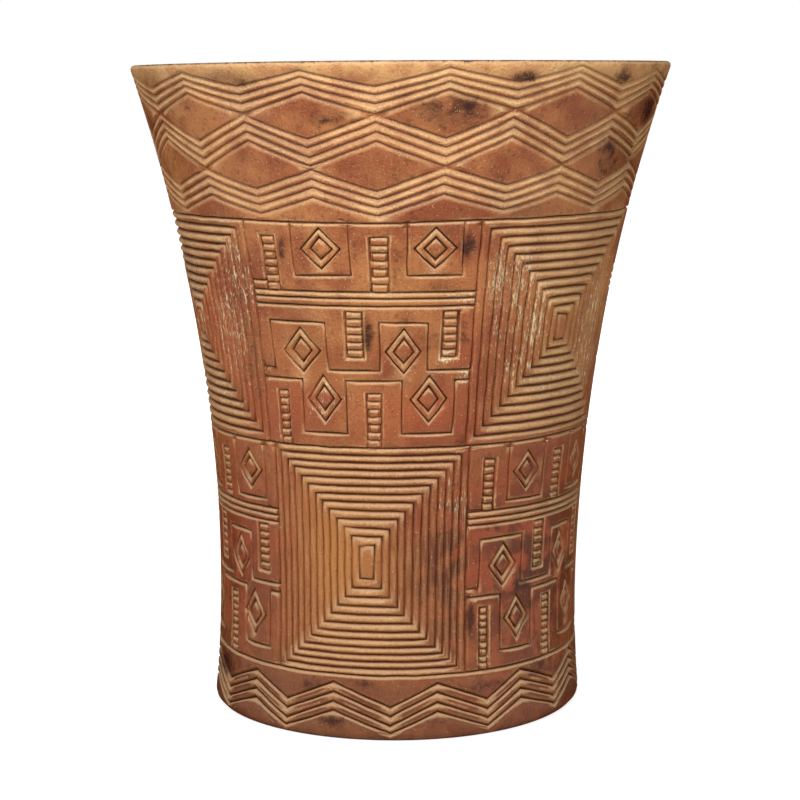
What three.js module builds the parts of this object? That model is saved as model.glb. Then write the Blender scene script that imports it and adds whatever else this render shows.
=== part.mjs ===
// Flared drinking beaker, hollowed and carved from one block of wood.
// Millimetres, +Z up. The origin is the centre of the foot, on the surface that the beaker stands on.
import * as THREE from "three";

// Outside form: a waist near the foot, flaring up to the lip and slightly out to the foot
const HEIGHT = 170;
const RIM_RADIUS = 71.2;
const WAIST_RADIUS = 48.4;
const WAIST_HEIGHT = 30;
const FOOT_RADIUS = 49.9;

// Hollow: the wall grows thicker towards the floor
const LIP_WALL = 6.5;
const FLOOR_WALL = 8.5;
const FLOOR_THICKNESS = 14;

// Rounded edges
const LIP_OUTER_EDGE = 1;
const LIP_INNER_EDGE = 2.5;
const FOOT_EDGE = 2;
const FLOOR_CORNER = 10;
const MOST_OF_LIP = 0.35; // no lip edge takes more of the lip's wall than this

// Lines scored round the beaker, which part its bands of carving
const LIP_BAND = 37.7; // from the lip down to the upper line
const FOOT_BAND = 16.7; // from the foot up to the lower line
const LOWER_PANELS = 58.8; // from the lower line up to the middle line
const LINE_WIDTH = 1.5;
const LINE_DEPTH = 0.9;

// Zigzags, three under the lip and one over the foot, each of them a ridge between two cut lines
const LIP_ZIGZAGS = 3;
const ZIGZAG_CORNERS = 24;
const ZIGZAG_START = -50; // degrees from the front, where the uppermost zigzag has an upper corner
const CORNER_GAP = 0.3; // between the lines of two zigzags, where their corners meet

// Two rows of panels, with rectangles and stepped lines by turns
const PANELS = 6;
const PANEL_START = -40; // degrees from the front to a panel's left side
const PANEL_INSET = 15; // degrees from a panel's side to its inner lines
const RECTANGLE_SHARE = 0.22; // from a panel's top or bottom to its rectangle, of the panel's height
const BAR_SHARE = 0.34; // from a panel's top down to its bar, of the panel's height

// Facets
const WIDEST_STEP = 10; // degrees round the beaker
const LEAST_STEP = 2;
const HOLLOW_STEPS = 4;
const EDGE_STEPS = 2;

const lowerLine = FOOT_BAND;
const middleLine = FOOT_BAND + LOWER_PANELS;
const upperLine = HEIGHT - LIP_BAND;
const panelAngle = 360 / PANELS;
const zigzagAngle = 360 / ZIGZAG_CORNERS;
const lineAngle = THREE.MathUtils.radToDeg(LINE_WIDTH / WAIST_RADIUS);

// The outside wall: a parabola above the waist and another below it
function outsideRadius(height) {
  const above = height > WAIST_HEIGHT;
  const reach = above ? HEIGHT - WAIST_HEIGHT : WAIST_HEIGHT;
  const flare = (above ? RIM_RADIUS : FOOT_RADIUS) - WAIST_RADIUS;
  return WAIST_RADIUS + flare * ((height - WAIST_HEIGHT) / reach) ** 2;
}

function wallThickness(height) {
  return THREE.MathUtils.mapLinear(
    height, FLOOR_THICKNESS, HEIGHT, FLOOR_WALL, LIP_WALL);
}

function insideRadius(height) {
  return outsideRadius(height) - wallThickness(height);
}

function outsidePoint(height) {
  return new THREE.Vector2(outsideRadius(height), height);
}

function insidePoint(height) {
  return new THREE.Vector2(insideRadius(height), height);
}

// Unit direction along a wall from one height towards another
function along(point, from, to) {
  return point(to).sub(point(from)).normalize();
}

// An arc that rounds the corner between two directions, each pointing away from the corner
function roundedCorner(corner, before, after, radius) {
  const half = before.angleTo(after) / 2;
  const centre = before.clone().add(after).normalize()
    .multiplyScalar(radius / Math.sin(half)).add(corner);
  const tangentDistance = radius / Math.tan(half);
  const start = corner.clone().addScaledVector(before, tangentDistance).sub(centre);
  const end = corner.clone().addScaledVector(after, tangentDistance).sub(centre);
  const turn = Math.atan2(start.cross(end), start.dot(end));
  const points = [];
  for (let step = 0; step <= EDGE_STEPS; step++) {
    const spoke = start.clone().rotateAround(new THREE.Vector2(), (turn * step) / EDGE_STEPS);
    points.push(spoke.add(centre));
  }
  return points;
}

// Points between two heights of a wall, without its ends
function stretch(point, from, to, steps) {
  const points = [];
  for (let step = 1; step < steps; step++)
    points.push(point(THREE.MathUtils.lerp(from, to, step / steps)));
  return points;
}

// Heights of the level lines inside a panel, from its bottom line up
function panelLevels(bottom, top) {
  const height = top - bottom;
  return {
    bottom,
    rectangleBottom: bottom + RECTANGLE_SHARE * height,
    bar: top - BAR_SHARE * height,
    rectangleTop: top - RECTANGLE_SHARE * height,
    top,
  };
}

// A cut of the knife is an upright or level line on the wall, between two angles and two heights
function cut(from, to, low, high) {
  return { from, to, low, high };
}

function rectanglePanel(left, right, level) {
  const { rectangleBottom: low, rectangleTop: high } = level;
  return [
    cut(left, right, low, low),
    cut(left, right, high, high),
    cut(left, left, low, high),
    cut(right, right, low, high),
  ];
}

// A bar over a line that steps down, with two upright lines above the bar
function steppedPanel(left, right, level) {
  const step = level.rectangleBottom;
  const cuts = [
    cut(left - PANEL_INSET, right + PANEL_INSET, level.bar, level.bar),
    cut(left - PANEL_INSET, left, step, step),
    cut(right, right + PANEL_INSET, step, step),
  ];
  for (const side of [left, right])
    cuts.push(cut(side, side, level.bar, level.top), cut(side, side, level.bottom, step));
  return cuts;
}

// All upright and level cuts, at angles from the first panel's left side
function knifeCuts() {
  const lower = panelLevels(lowerLine, middleLine);
  const upper = panelLevels(middleLine, upperLine);
  const cuts = [lowerLine, middleLine, upperLine].map((height) => cut(0, 360, height, height));
  for (let panel = 0; panel < PANELS; panel++) {
    const side = panel * panelAngle;
    const left = side + PANEL_INSET;
    const right = side + panelAngle - PANEL_INSET;
    const even = panel % 2 === 0;
    cuts.push(cut(side, side, lowerLine, upperLine));
    cuts.push(...(even ? rectanglePanel : steppedPanel)(left, right, lower));
    cuts.push(...(even ? steppedPanel : rectanglePanel)(left, right, upper));
  }
  return cuts;
}

// Angles of the wall's upright lines of points: its cuts, zigzag corners, and more in wide gaps
function columnAngles(cuts) {
  const uprights = [...new Set(cuts.filter(({ from, to }) => from === to).map(({ from }) => from))];
  const angles = uprights.flatMap((angle) => [angle - lineAngle / 2, angle, angle + lineAngle / 2]);
  for (let corner = 0; corner < ZIGZAG_CORNERS; corner++) {
    const angle = THREE.MathUtils.euclideanModulo(
      ZIGZAG_START - PANEL_START + corner * zigzagAngle, 360);
    if (angles.every((other) => Math.abs(other - angle) > LEAST_STEP)) angles.push(angle);
  }
  angles.sort((one, other) => one - other);
  const columns = [];
  angles.forEach((angle, k) => {
    const gap = (k + 1 < angles.length ? angles[k + 1] : angles[0] + 360) - angle;
    const parts = Math.ceil(gap / WIDEST_STEP);
    for (let part = 0; part < parts; part++) columns.push(angle + (gap * part) / parts);
  });
  return columns;
}

// A V-shaped groove round the beaker is three rows of points, of which the middle one may be cut
function grooveRows(heightAt, isCut) {
  return [
    { heightAt: (angle) => heightAt(angle) - LINE_WIDTH / 2 },
    { heightAt, isCut },
    { heightAt: (angle) => heightAt(angle) + LINE_WIDTH / 2 },
  ];
}

function levelRows(height) {
  return grooveRows(() => height);
}

// A row of zigzags that fills the wall between two heights, from its lowest line up
function zigzagRows(bottom, top, zigzags) {
  const lines = 2 * zigzags;
  const pitch = (top - bottom) / lines;
  const swing = (pitch - LINE_WIDTH - CORNER_GAP) / 2;
  const rows = [];
  for (let line = 0; line < lines; line++) {
    const middle = bottom + (line + 0.5) * pitch;
    const turn = Math.floor((lines - 1 - line) / 2) % 2 === 0 ? 1 : -1;
    const heightAt = (angle) => {
      const corners = (angle + PANEL_START - ZIGZAG_START) / zigzagAngle;
      return middle + turn * swing * (1 - 2 * THREE.MathUtils.pingpong(corners, 1));
    };
    rows.push(...grooveRows(heightAt, true));
  }
  return rows;
}

// Rows of the outside wall, from the end of the foot's rounded edge to the start of the lip's
function wallRows(from, to) {
  const rows = [...zigzagRows(from, lowerLine - LINE_WIDTH / 2, 1), ...levelRows(lowerLine)];
  for (const [bottom, top] of [[lowerLine, middleLine], [middleLine, upperLine]]) {
    const level = panelLevels(bottom, top);
    for (const height of [level.rectangleBottom, level.bar, level.rectangleTop, top])
      rows.push(...levelRows(height));
  }
  rows.push(...zigzagRows(upperLine + LINE_WIDTH / 2, to, LIP_ZIGZAGS));
  return rows;
}

// Radius and height of a place on the wall, sunk where the knife has cut it
function carvedPoint(row, angle, cuts) {
  const height = row.heightAt(angle);
  const sunk = row.isCut || cuts.some(({ from, to, low, high }) =>
    angle >= from && angle <= to && height >= low && height <= high);
  const point = outsidePoint(height);
  if (sunk) point.x -= LINE_DEPTH;
  return point;
}

// Rounded edges and hollow, as radius and height, in order from the foot round to the floor
function sections() {
  const inwards = new THREE.Vector2(-1, 0);
  const outwards = new THREE.Vector2(1, 0);
  const footEdge = roundedCorner(
    outsidePoint(0), inwards, along(outsidePoint, 0, FOOT_EDGE), FOOT_EDGE);
  const lipOuterEdge = roundedCorner(
    outsidePoint(HEIGHT), along(outsidePoint, HEIGHT, HEIGHT - LIP_OUTER_EDGE), inwards,
    Math.min(LIP_OUTER_EDGE, MOST_OF_LIP * LIP_WALL));
  const lipInnerEdge = roundedCorner(
    insidePoint(HEIGHT), outwards, along(insidePoint, HEIGHT, HEIGHT - LIP_INNER_EDGE),
    Math.min(LIP_INNER_EDGE, MOST_OF_LIP * LIP_WALL));
  const floorCorner = roundedCorner(
    insidePoint(FLOOR_THICKNESS),
    along(insidePoint, FLOOR_THICKNESS, FLOOR_THICKNESS + FLOOR_CORNER), inwards, FLOOR_CORNER);
  const hollow = stretch(insidePoint, lipInnerEdge.at(-1).y, floorCorner[0].y, HOLLOW_STEPS);
  return { footEdge, overLip: [...lipOuterEdge, ...lipInnerEdge, ...hollow, ...floorCorner] };
}

// Turns a radius and height to an angle from the first panel's left side
function turned(point, angle) {
  const turn = THREE.MathUtils.degToRad(angle + PANEL_START);
  return new THREE.Vector3(point.x * Math.sin(turn), -point.x * Math.cos(turn), point.y);
}

// One closed skin over rings of points, from a point under them to a point inside them
function skin(under, rings, inside) {
  const count = rings[0].length;
  const points = [under, ...rings.flat(), inside];
  const top = points.length - 1 - count;
  const triangles = [];
  for (let column = 0; column < count; column++) {
    const next = (column + 1) % count;
    triangles.push(0, 1 + next, 1 + column);
    for (let low = 1; low < top; low += count) {
      const high = low + count;
      triangles.push(low + column, low + next, high + next);
      triangles.push(low + column, high + next, high + column);
    }
    triangles.push(top + column, top + next, points.length - 1);
  }
  const geometry = new THREE.BufferGeometry().setFromPoints(points);
  geometry.setIndex(triangles);
  geometry.computeVertexNormals();
  return geometry;
}

// Golden red-brown wood with a hand-worn polish
function wood() {
  return new THREE.MeshStandardMaterial({ color: 0x9d5a38, roughness: 0.45, metalness: 0 });
}

function cupBody() {
  const cuts = knifeCuts();
  const columns = columnAngles(cuts);
  const { footEdge, overLip } = sections();
  const rows = wallRows(footEdge.at(-1).y, overLip[0].y);
  const ring = (point) => columns.map((angle) => turned(point, angle));
  const carvedRing = (row) => columns.map((angle) => turned(carvedPoint(row, angle, cuts), angle));
  const rings = [...footEdge.map(ring), ...rows.map(carvedRing), ...overLip.map(ring)];
  const geometry = skin(
    new THREE.Vector3(0, 0, 0), rings, new THREE.Vector3(0, 0, FLOOR_THICKNESS));
  const mesh = new THREE.Mesh(geometry, wood());
  mesh.name = "cup_body";
  return mesh;
}

const beaker = new THREE.Group();
beaker.add(cupBody());

export default beaker;
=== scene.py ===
"""A flared wooden drinking beaker: its carved surface, worn wood, studio light and camera.

The carving is laid out on the wall. A place there is an angle round the beaker in degrees,
0 at the front and growing to the right, and a height above the foot in millimetres.
"""
import math
from types import SimpleNamespace
from typing import NamedTuple

import bpy
import numpy as np
from mathutils import Matrix, Vector
from mathutils.geometry import delaunay_2d_cdt


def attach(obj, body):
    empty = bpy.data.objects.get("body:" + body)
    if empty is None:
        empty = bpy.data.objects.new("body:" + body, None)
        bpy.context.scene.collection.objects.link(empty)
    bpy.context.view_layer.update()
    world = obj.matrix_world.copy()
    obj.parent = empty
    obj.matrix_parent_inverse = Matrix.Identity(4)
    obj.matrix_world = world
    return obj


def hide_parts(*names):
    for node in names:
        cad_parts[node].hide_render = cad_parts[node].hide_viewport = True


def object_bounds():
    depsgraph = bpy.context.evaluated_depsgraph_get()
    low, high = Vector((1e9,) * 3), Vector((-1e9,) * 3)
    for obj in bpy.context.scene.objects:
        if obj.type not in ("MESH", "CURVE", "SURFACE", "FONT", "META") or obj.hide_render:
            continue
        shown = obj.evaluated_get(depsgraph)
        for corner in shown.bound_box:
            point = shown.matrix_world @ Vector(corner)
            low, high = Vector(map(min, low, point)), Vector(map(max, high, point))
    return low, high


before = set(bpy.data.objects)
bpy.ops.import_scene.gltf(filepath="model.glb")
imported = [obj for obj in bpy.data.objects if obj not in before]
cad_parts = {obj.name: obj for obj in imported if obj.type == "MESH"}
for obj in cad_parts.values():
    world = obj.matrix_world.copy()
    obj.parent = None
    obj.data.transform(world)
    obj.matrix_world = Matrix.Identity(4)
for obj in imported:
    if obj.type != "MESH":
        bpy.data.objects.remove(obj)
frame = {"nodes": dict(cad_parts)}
cad_low, cad_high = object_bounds()
chance = np.random.default_rng(seed=7)
MM = 0.001

# Turned form in millimetres, as the solid has it
HEIGHT = cad_high.z / MM
RIM_RADIUS = 71.2
WAIST_RADIUS = 48.4
WAIST_HEIGHT = 30
FOOT_RADIUS = 49.9
LIP_WALL = 6.5
FLOOR_WALL = 8.5
FLOOR_THICKNESS = 14
LIP_OUTER_EDGE = 1
LIP_INNER_EDGE = 2.5
FOOT_EDGE = 2
FLOOR_CORNER = 10

# What hand work adds to the turned form
LEAN = math.radians(0.7)  # the lip stands to the right of the foot
BOW = 0.5  # how far the leaning axis bends to the right, in millimetres
BOW_HEIGHT = 106  # where it bends most
OUT_OF_ROUND = 0.25
UNEVEN_LIP = 0.2

# Mesh, in millimetres and counts
LAND_GRID = 2.8
LAND_JITTER = 0.3  # how far its points stray, as a share of it
TURN_STEPS = 216
WALL_STEPS = 240
EDGE_STEPS = 7
HOLLOW_STEPS = 40
FLOOR_STEPS = 9
UNDER_RINGS = 3
TINY = 1e-6  # less than this counts as nothing


def outside_radius(height):
    above = height > WAIST_HEIGHT
    reach = np.where(above, HEIGHT - WAIST_HEIGHT, WAIST_HEIGHT)
    flare = np.where(above, RIM_RADIUS, FOOT_RADIUS) - WAIST_RADIUS
    return WAIST_RADIUS + flare * ((height - WAIST_HEIGHT) / reach) ** 2


def inside_radius(height):
    share = (height - FLOOR_THICKNESS) / (HEIGHT - FLOOR_THICKNESS)
    return outside_radius(height) - FLOOR_WALL - share * (LIP_WALL - FLOOR_WALL)


def wall_points(radius, heights):
    return np.column_stack([radius(heights), heights])


def direction(radius, start, end):
    """Unit vector along a wall from one height towards another."""
    first, last = wall_points(radius, np.array([start, end], float))
    return (last - first) / np.linalg.norm(last - first)


def rounded_corner(corner, before, after, radius):
    """An arc that rounds a corner between two unit directions that point away from it."""
    half = math.acos(before @ after) / 2
    middle = (before + after) / np.linalg.norm(before + after)
    centre = corner + middle * radius / math.sin(half)
    start = corner + before * radius / math.tan(half) - centre
    end = corner + after * radius / math.tan(half) - centre
    turn = math.atan2(start[0] * end[1] - start[1] * end[0], start @ end)
    angles = np.linspace(0, turn, EDGE_STEPS)[:, None]
    return centre + np.cos(angles) * start + np.sin(angles) * np.array([-start[1], start[0]])


INWARDS = np.array([-1.0, 0.0])


def outside_path():
    """Radius and height from the rim of the foot's flat, up the wall and over the lip's outer edge."""
    foot_corner, lip_corner = wall_points(outside_radius, np.array([0.0, HEIGHT]))
    foot = rounded_corner(foot_corner, INWARDS, direction(outside_radius, 0, FOOT_EDGE), FOOT_EDGE)
    down = direction(outside_radius, HEIGHT, HEIGHT - LIP_OUTER_EDGE)
    lip = rounded_corner(lip_corner, down, INWARDS, LIP_OUTER_EDGE)
    heights = np.linspace(foot[-1, 1], lip[0, 1], WALL_STEPS)[1:-1]
    return np.vstack([foot, wall_points(outside_radius, heights), lip])


def inside_path():
    """Radius and height from the lip's inner edge down the hollow to the middle of its floor."""
    lip_corner, floor_corner = wall_points(inside_radius, np.array([HEIGHT, FLOOR_THICKNESS]))
    down = direction(inside_radius, HEIGHT, HEIGHT - LIP_INNER_EDGE)
    lip = rounded_corner(lip_corner, -INWARDS, down, LIP_INNER_EDGE)
    up = direction(inside_radius, FLOOR_THICKNESS, FLOOR_THICKNESS + FLOOR_CORNER)
    corner = rounded_corner(floor_corner, up, INWARDS, FLOOR_CORNER)
    heights = np.linspace(lip[-1, 1], corner[0, 1], HOLLOW_STEPS)[1:-1]
    radii = np.linspace(corner[-1, 0], 0, FLOOR_STEPS)[1:-1]
    floor = np.column_stack([radii, np.full(len(radii), FLOOR_THICKNESS)])
    return np.vstack([lip, wall_points(inside_radius, heights), corner, floor])


class Wall:
    """The outside wall, where a place is an angle in radians and a length up its path from the foot."""

    def __init__(self, path):
        steps = np.hypot(*np.diff(path, axis=0).T)
        self.radii, self.heights = path.T
        self.lengths = np.concatenate([[0], np.cumsum(steps)])
        middles = (self.radii[1:] + self.radii[:-1]) / 2
        self.spreads = np.concatenate([[0], np.cumsum(steps / middles)])
        slopes = np.gradient(path, self.lengths, axis=0)
        self.normals = np.column_stack([slopes[:, 1], -slopes[:, 0]])

    def length_at(self, height):
        return np.interp(height, self.heights, self.lengths)

    def radius(self, length):
        return np.interp(length, self.lengths, self.radii)

    def flattened(self, places):
        """Places on a flat ring with the foot at its inner edge, where small shapes keep their angles."""
        reach = np.exp(np.interp(places[:, 1], self.lengths, self.spreads))
        return np.column_stack([np.cos(places[:, 0]), -np.sin(places[:, 0])]) * reach[:, None]

    def unflattened(self, points):
        spread = np.log(np.hypot(*points.T))
        angles = np.arctan2(-points[:, 1], points[:, 0])
        return np.column_stack([angles, np.interp(spread, self.spreads, self.lengths)])

    def solid(self, places, lift):
        """Points in space, in millimetres, raised from the wall by lift."""
        angle, length = places.T
        radius = self.radius(length) + lift * np.interp(length, self.lengths, self.normals[:, 0])
        height = np.interp(length, self.lengths, self.heights)
        height = height + lift * np.interp(length, self.lengths, self.normals[:, 1])
        return np.column_stack([radius * np.sin(angle), -radius * np.cos(angle), height])


wall = Wall(outside_path())


class Blade(NamedTuple):
    """The groove that a knife leaves, and the spacing of mesh stations along it, in millimetres."""

    half_width: float
    depth: float
    station: float


STATION = 3.5
CORD = Blade(0.98, 1.0, STATION)  # side by side, these leave rounded ridges
SHALLOW_CORD = Blade(0.95, 0.56, STATION)
SCORE = Blade(0.6, 0.95, STATION)
LOZENGE_EDGE = Blade(0.7, 1.2, STATION)
LOZENGE_CORE = Blade(0.85, 1.4, STATION)
RUNG = Blade(0.65, 0.75, 1.1)
PROFILE = 1.5  # 1 would be a plain V, and more makes its sides hollow

GRAIN_WIDTH, GRAIN_DEPTH = 0.8, 0.7  # shares of a groove's size left to one that runs up the grain
GRAIN_DIRT_AND_SHADE, GRAIN_WEAR = 0.66, 0.3  # and of the dirt and painted shade in it and the wear beside it
SLIP = 0.06  # how far a corner strays, in millimetres
WANDER = 0.03  # how far a line strays between its corners
WANDER_LENGTH = 17


class Groove(NamedTuple):
    line: np.ndarray  # stations on the wall; a closed line ends on its first station
    closed: bool
    blade: Blade


grooves = []


def stations(corners, spacing):
    """Points about a spacing apart along straight lines between corners."""
    found = []
    for start, end in zip(corners[:-1], corners[1:]):
        step = (end - start) * [wall.radius((start[1] + end[1]) / 2), 1]
        count = max(1, round(np.hypot(*step) / spacing))
        found.append(start + (end - start) * np.arange(count)[:, None] / count)
    return np.vstack(found + [corners[-1:]])


def cut(places, blade, closed=False):
    """Adds a groove through places with the small errors of a hand."""
    places = np.array(places, float)
    corners = np.column_stack([np.radians(places[:, 0]), wall.length_at(places[:, 1])])
    corners += chance.normal(0, SLIP, corners.shape) / [WAIST_RADIUS, 1]
    if closed:
        goes_round = abs(corners[-1, 0] - corners[0, 0]) > math.pi
        corners = np.vstack([corners, corners[0] + [2 * math.pi * goes_round, 0]])
    line = stations(corners, blade.station)
    share = np.linspace(0, 1, len(line))[:, None]
    waves = max(1, round(len(line) * blade.station / WANDER_LENGTH))
    turns = 2 * math.pi * waves * share
    phase = chance.uniform(0, 2 * math.pi, (2, 2))
    stray = np.sin(turns + phase[0]) + np.sin(2 * turns + phase[1])
    grooves.append(Groove(line + WANDER * stray / [WAIST_RADIUS, 1], closed, blade))


# Carved bands: heights of the three level lines, and the corners of the zigzags on the face
UPPER_LINE = 132.2
MIDDLE_LINE = 75.6
LOWER_LINE = 17.0
LIP_CORNERS = (-63.5, -49, -34, -19.7, -5, 9.6, 24, 38, 52, 66.5)
FOOT_CORNERS = (-65, -49, -35.5, -19.5, -2, 12, 28, 40.5, 56.5, 70)
CORNERS_ROUND = 24

# Heights of four grooves at their upper and lower corners, from the lip's zigzag down to the foot's
LIP_ZIGZAGS = (
    ((168.0, 166.4, 164.7, 162.9), (164.5, 162.5, 160.4, 158.1)),
    ((157.6, 155.5, 153.3, 151.2), (152.0, 149.9, 147.7, 145.5)),
    ((144.7, 142.5, 140.3, 138.1), (140.0, 138.0, 136.0, 134.1)),
)
FOOT_ZIGZAG = ((14.7, 12.2, 9.7, 7.3), (9.0, 6.6, 4.2, 2.1))

# How far each of those corners lies above its even place
LIP_RISES = (
    (-0.3, -0.3, -0.3, -0.35, -0.6, 0.1, 0.3, 0.7, -0.4, -0.3),
    (0.4, -0.9, 0.1, -0.3, 0, -0.3, 0.8, -0.3, 0, 0.3),
    (-0.25, -0.25, -0.25, -0.25, -0.7, 0.5, 0.4, 0.15, 0, 0),
)
FOOT_RISES = (0, -0.2, -0.1, 0.2, -0.1, 0.2, 0.4, 0.7, 1.2, 0.8)

# The upper line sags to the left of the front, in millimetres and degrees
SAG = 0.5
SAG_ANGLE = -12
SAG_REACH = 22
LEVEL_STEP = 5


def all_round(angles, count):
    """The angles given, then more at even steps until the turn has count of them."""
    rest = count - len(angles)
    step = (angles[0] + 360 - angles[-1]) / (rest + 1)
    return list(angles) + [angles[-1] + step * (k + 1) for k in range(rest)]


def level_line(height, sag=0.0):
    line = []
    for angle in range(-180, 180, LEVEL_STEP):
        dip = sag * math.exp(-((angle - SAG_ANGLE) / SAG_REACH) ** 2)
        line.append((angle, height - dip))
    cut(line, SCORE, closed=True)


def zigzag(corners, upper, lower, rises, starts_high, blade):
    rises = list(rises) + [0] * (len(corners) - len(rises))
    for high, low in zip(upper, lower):
        heights = (high, low) if starts_high else (low, high)
        cut([(angle, heights[k % 2] + rises[k]) for k, angle in enumerate(corners)], blade, closed=True)


def carve_bands():
    level_line(UPPER_LINE, SAG)
    level_line(MIDDLE_LINE)
    level_line(LOWER_LINE)
    lip_corners = all_round(LIP_CORNERS, CORNERS_ROUND)
    for k, (upper, lower) in enumerate(LIP_ZIGZAGS):
        zigzag(lip_corners, upper, lower, LIP_RISES[k], k % 2 == 1, SHALLOW_CORD)
    zigzag(all_round(FOOT_CORNERS, CORNERS_ROUND), *FOOT_ZIGZAG, FOOT_RISES, False, CORD)


# Panels: two rows of six, nested rectangles and stepped panels by turns
PANELS_ROUND = 6
UPPER_EDGES = (-40.2, 19.2, 77.0)
LOWER_EDGES = (-38.6, 20.5, 77.5)
LOW_SHIFTS = {5: 3.0}  # degrees by which a panel's lowest ladder and the step beside it stand further right


class Core(NamedTuple):
    """The innermost of a panel's nested rectangles, and how many there are."""

    aside: float
    half_width: float
    bottom: float
    top: float
    count: int
    crowding: tuple  # how much closer the grooves lie at the panel's edge: left, right, bottom and top


UPPER_CORE = Core(-0.4, 2.1, 100.8, 107.2, 12, (0, 0, -0.05, 0.05))
LOWER_CORE = Core(-0.55, 2.2, 42.0, 50.5, 13, (0, 0, 0.2, 0.1))


def nested_rectangles(left, right, bottom, top, core):
    middle = (left + right) / 2 + core.aside
    outer = np.array([left, right, bottom, top])
    inner = np.array([middle - core.half_width, middle + core.half_width, core.bottom, core.top])
    for k in range(1, core.count):
        share = k / (core.count - 1)
        shares = share - np.multiply(core.crowding, share * (1 - share))
        west, east, south, north = outer + (inner - outer) * shares
        cut([(west, south), (east, south), (east, north), (west, north)], CORD, closed=True)


class Levels(NamedTuple):
    """Heights of a stepped panel's features, from its top line to its bottom line."""

    top: float
    ladder_high: float
    lozenge_high: float
    frame: float
    ladder_foot: float
    bars: tuple
    ladder_middle: tuple
    steps_upper: tuple
    lozenge_middle: float
    steps_lower: tuple
    lozenge_low: float
    ladder_low: float
    bottom: float


UPPER_LEVELS = Levels(
    top=UPPER_LINE, ladder_high=128.3, lozenge_high=125.5, frame=118.9, ladder_foot=117.2,
    bars=(114.8, 113.1, 111.3),
    ladder_middle=(110.0, 98.5), steps_upper=(107.2, 95.2), lozenge_middle=100.1,
    steps_lower=(92.6, 79.2), lozenge_low=88.0, ladder_low=89.4, bottom=MIDDLE_LINE)
LOWER_LEVELS = Levels(
    top=MIDDLE_LINE, ladder_high=71.6, lozenge_high=67.9, frame=60.4, ladder_foot=58.9,
    bars=(58.3, 56.6, 54.9),
    ladder_middle=(53.6, 41.5), steps_upper=(51.0, 38.4), lozenge_middle=43.9,
    steps_lower=(36.2, 21.4), lozenge_low=29.6, ladder_low=33.3, bottom=LOWER_LINE)

# Places across a stepped panel of this width, in degrees from its left side, from its upper part down
STEPPED_WIDTH = 58.2
HIGH_LADDERS = ((4.8, 8.5), (32.3, 36.5))
HIGH_FRAMES = ((13.3, 27.4), (40.9, 54.0))
HIGH_LOZENGES = ((20.4, 5.05, 5), (47.5, 5.05, 5))  # middle, half width, and half height in millimetres
MIDDLE_RISES = ((4.4, 20.2), (34.2, 46.4))  # where the stepped line runs high
MIDDLE_LOZENGES = ((13, 5.2, 5.6), (40.3, 4.6, 5.6))
MIDDLE_LADDERS = ((25.5, 29.8), (50.2, 54.1))
LOW_DIPS = ((12.3, 25), (39.8, 54))  # where the stepped line runs low
LOW_LOZENGES = ((18.7, 4.7, 5.8), (47.1, 5.0, 5.9))
LOW_LADDERS = ((4.8, 7.7), (30.5, 34.3))
INNER_LOZENGE = 0.55  # size of a lozenge's inner line, as a share of its outer one
RUNG_PITCH = 1.9


def lozenge(middle, height, half_width, half_height):
    for share, blade in ((1, LOZENGE_EDGE), (INNER_LOZENGE, LOZENGE_CORE)):
        wide, tall = half_width * share, half_height * share
        cut([(middle - wide, height), (middle, height - tall), (middle + wide, height),
             (middle, height + tall)], blade, closed=True)


def ladder(left, right, bottom, top):
    for side in (left, right):
        cut([(side, bottom), (side, top)], SCORE)
    count = round((top - bottom) / RUNG_PITCH)
    for k in range(count + 1):
        height = bottom + (top - bottom) * k / count
        cut([(left, height), (right, height)], RUNG)


def stepped_line(spans, inner, outer):
    """Corners of a line across a panel, at the inner height over each span and else at the outer one."""
    corners = [(0, outer)]
    for start, end in spans:
        corners += [(start, outer), (start, inner), (end, inner), (end, outer)]
    return corners + [(STEPPED_WIDTH, outer)]


def stepped_panel(left, right, level, shift=0.0):
    scale = (right - left) / STEPPED_WIDTH

    def line(*places):
        cut([(left + turn * scale, height) for turn, height in places], SCORE)

    def rungs(start, end, bottom, top):
        ladder(left + start * scale, left + end * scale, bottom, top)

    def lozenges(pair, height):
        for middle, half_width, half_height in pair:
            lozenge(left + middle * scale, height, half_width * scale, half_height)

    # Upper part: two framed lozenges between ladders, over three bars
    rungs(*HIGH_LADDERS[0], level.bars[0], level.ladder_high)
    line((0, level.ladder_foot), (HIGH_LADDERS[0][0], level.ladder_foot))
    rungs(*HIGH_LADDERS[1], level.bars[0], level.ladder_high)
    for start, end in HIGH_FRAMES:
        line((start, level.top), (start, level.frame), (end, level.frame), (end, level.top))
    lozenges(HIGH_LOZENGES, level.lozenge_high)
    for height in level.bars:
        line((0, height), (STEPPED_WIDTH, height))

    # Middle part: a stepped line round two lozenges and two ladders
    high, low = level.steps_upper
    line(*stepped_line(MIDDLE_RISES, high, low))
    lozenges(MIDDLE_LOZENGES, level.lozenge_middle)
    top, bottom = level.ladder_middle
    for start, end in MIDDLE_LADDERS:
        rungs(start, end, bottom, top)

    # Lower part: the same, shifted by half a step
    high, low = level.steps_lower
    first, (start, end) = LOW_DIPS
    line(*stepped_line((first, (start + shift, end)), low, high))
    lozenges(LOW_LOZENGES, level.lozenge_low)
    first, (start, end) = LOW_LADDERS
    rungs(*first, level.bottom, level.ladder_low)
    rungs(start + shift, end + shift, level.bottom, level.ladder_low)


def carve_panels(edges, bottom, top, core, levels, starts_stepped, shifts):
    edges = all_round(edges, PANELS_ROUND)
    edges.append(edges[0] + 360)
    for k, (left, right) in enumerate(zip(edges[:-1], edges[1:])):
        cut([(left, bottom), (left, top)], CORD)
        if (k % 2 == 0) == starts_stepped:
            stepped_panel(left, right, levels, shifts.get(k, 0.0))
        else:
            nested_rectangles(left, right, bottom, top, core)


carve_bands()
carve_panels(UPPER_EDGES, MIDDLE_LINE, UPPER_LINE, UPPER_CORE, UPPER_LEVELS, True, {})
carve_panels(LOWER_EDGES, LOWER_LINE, MIDDLE_LINE, LOWER_CORE, LOWER_LEVELS, False, LOW_SHIFTS)


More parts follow.
